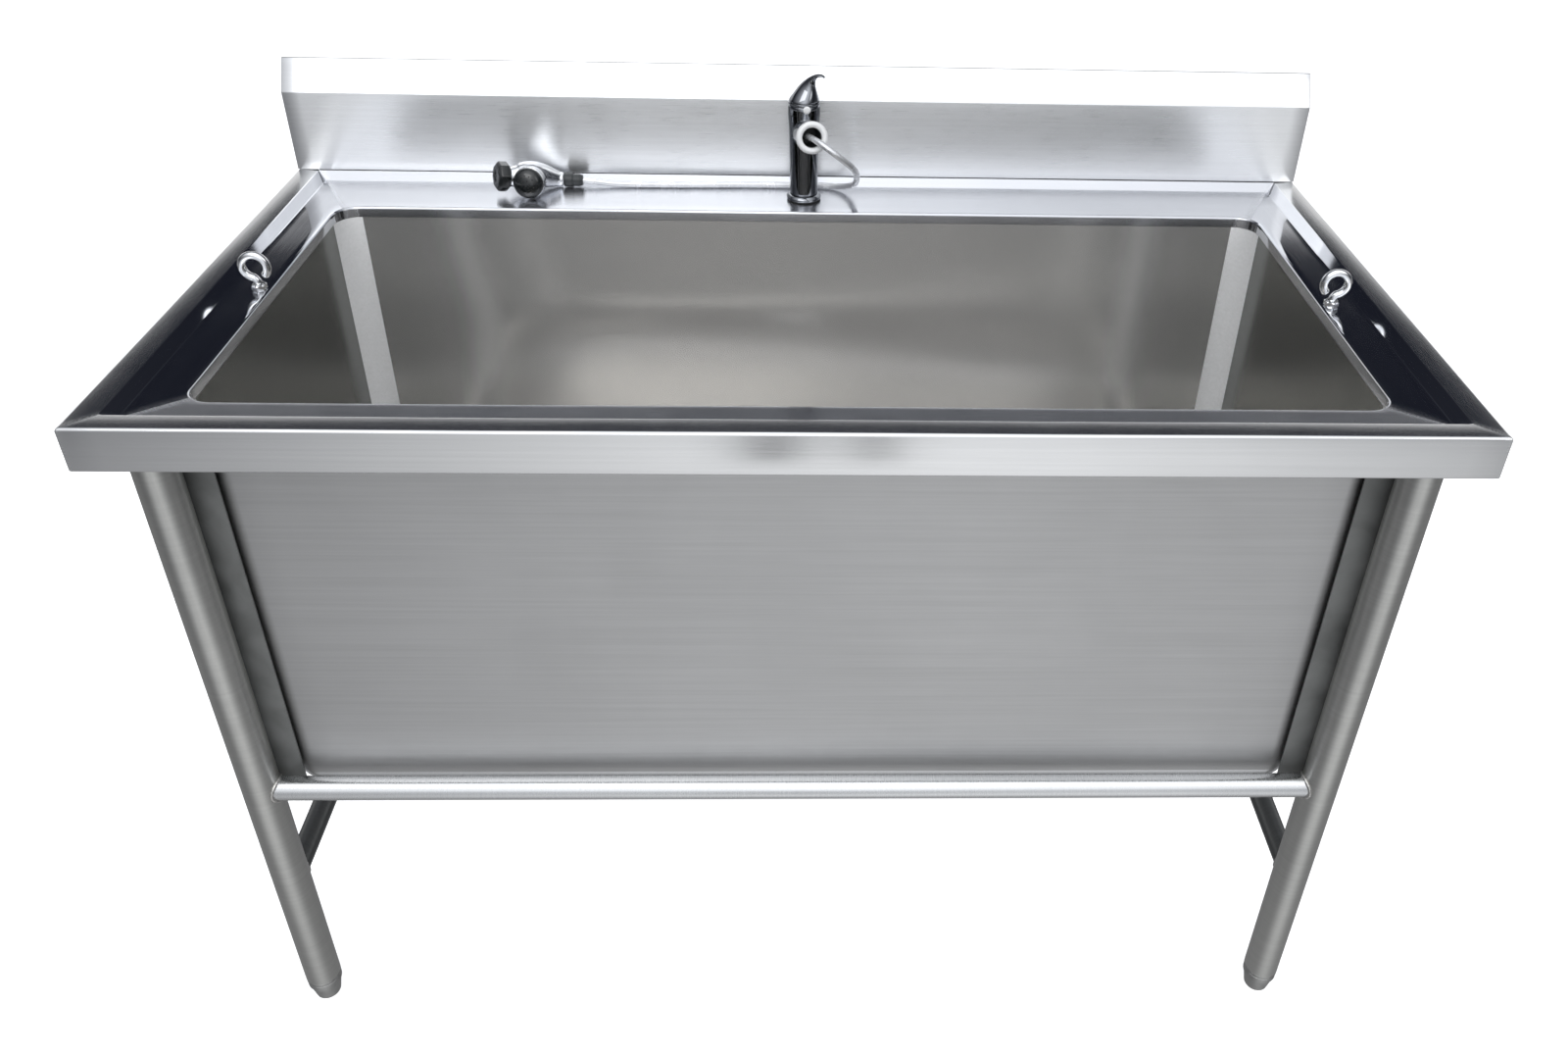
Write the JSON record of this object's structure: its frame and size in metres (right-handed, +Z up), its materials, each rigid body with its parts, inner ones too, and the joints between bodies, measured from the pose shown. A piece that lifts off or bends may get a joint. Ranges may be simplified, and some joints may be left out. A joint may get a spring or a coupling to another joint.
{
  "type": "pet bathtub",
  "caption": "Raised rectangular steel washing tub on a tube frame with splash panel, tether eyes, pull-out spray mixer and floor drain",
  "frame": {"origin": "on the floor, in the middle of the bathtub's outline", "axes": "+X to the right along the length, +Y to the back (wall side), +Z up"},
  "size_m": [1.2, 0.61, 0.9395],
  "materials": {
    "brushed_steel": "brushed sheet, bright on folds",
    "satin_tube": "satin tube and bracket",
    "polished_steel": "polished",
    "chrome": "mirror",
    "brass": "machined",
    "white_plastic": "smooth white",
    "black_plastic": "smooth black",
    "rubber": "matte",
    "hose_silver": "silver sleeve over a helix"
  },
  "bodies": {
    "root": {"deck": "brushed_steel", "backsplash": "brushed_steel", "basin": "brushed_steel", "support_rail_left": "satin_tube", "tie_angle_left": "satin_tube", "side_bar_left": "satin_tube", "support_rail_right": "satin_tube", "tie_angle_right": "satin_tube", "side_bar_right": "satin_tube", "support_rail_front": "satin_tube", "crossbar_front": "satin_tube", "support_rail_rear": "satin_tube", "crossbar_rear": "satin_tube", "leg_mount_front_left": "satin_tube", "leg_front_left": "satin_tube", "foot_insert_front_left": "satin_tube", "leg_mount_front_right": "satin_tube", "leg_front_right": "satin_tube", "foot_insert_front_right": "satin_tube", "leg_mount_rear_left": "satin_tube", "leg_rear_left": "satin_tube", "foot_insert_rear_left": "satin_tube", "leg_mount_rear_right": "satin_tube", "leg_rear_right": "satin_tube", "foot_insert_rear_right": "satin_tube", "eye_bolt_left": "polished_steel", "eye_nut_left": "polished_steel", "eye_lock_nut_left": "satin_tube", "eye_bolt_right": "polished_steel", "eye_nut_right": "polished_steel", "eye_lock_nut_right": "satin_tube", "tap_body": "chrome", "tap_base_ring": "chrome", "tap_guide_ring": "white_plastic", "tap_cartridge": "white_plastic", "tap_index_button": "white_plastic", "tap_gasket": "rubber", "drain_gasket": "rubber", "tap_backnut": "brass", "inlet_tail_hot": "brass", "inlet_tail_cold": "brass", "drain_locknut": "brass", "spray_hose": "hose_silver", "drain_body": "polished_steel", "drain_tailpiece": "polished_steel"},
    "tap_cap": {"tap_cap": "chrome"},
    "tap_lever": {"tap_lever": "chrome"},
    "handset": {"handset_body": "chrome", "spray_face": "black_plastic", "hose_coupling": "black_plastic"},
    "mode_knob": {"mode_knob": "black_plastic"},
    "strainer": {"drain_strainer": "polished_steel"},
    "foot_front_left": {"foot_front_left": "polished_steel"},
    "foot_front_right": {"foot_front_right": "polished_steel"},
    "foot_rear_left": {"foot_rear_left": "polished_steel"},
    "foot_rear_right": {"foot_rear_right": "polished_steel"}
  },
  "joints": [
    {"name": "lever_turn", "type": "hinge", "parent": "root", "child": "tap_cap", "pos_m": [0.002, 0.233, 0.903], "axis": [0, 0, 1], "range_deg": [-100, 0]},
    {"name": "lever_lift", "type": "hinge", "parent": "tap_cap", "child": "tap_lever", "pos_m": [-0.00839, 0.239, 0.9065], "axis": [-0.5, -0.866, 0], "range_deg": [0, 22]},
    {"name": "handset_lift", "type": "slide", "parent": "root", "child": "handset", "axis": [0, 0, 1], "range_m": [0, 0.08]},
    {"name": "mode_knob_turn", "type": "hinge", "parent": "handset", "child": "mode_knob", "pos_m": [-0.3413, 0.2335, 0.8119], "axis": [-0.8638, -0.462, 0.2009], "range_deg": [0, 90]},
    {"name": "strainer_lift", "type": "slide", "parent": "root", "child": "strainer", "axis": [0, 0, 1], "range_m": [0, 0.08]},
    {"name": "level_front_left", "type": "slide", "parent": "root", "child": "foot_front_left", "axis": [0, 0, -1], "range_m": [0, 0.02]},
    {"name": "level_front_right", "type": "slide", "parent": "root", "child": "foot_front_right", "axis": [0, 0, -1], "range_m": [0, 0.02]},
    {"name": "level_rear_left", "type": "slide", "parent": "root", "child": "foot_rear_left", "axis": [0, 0, -1], "range_m": [0, 0.02]},
    {"name": "level_rear_right", "type": "slide", "parent": "root", "child": "foot_rear_right", "axis": [0, 0, -1], "range_m": [0, 0.02]}
  ]
}
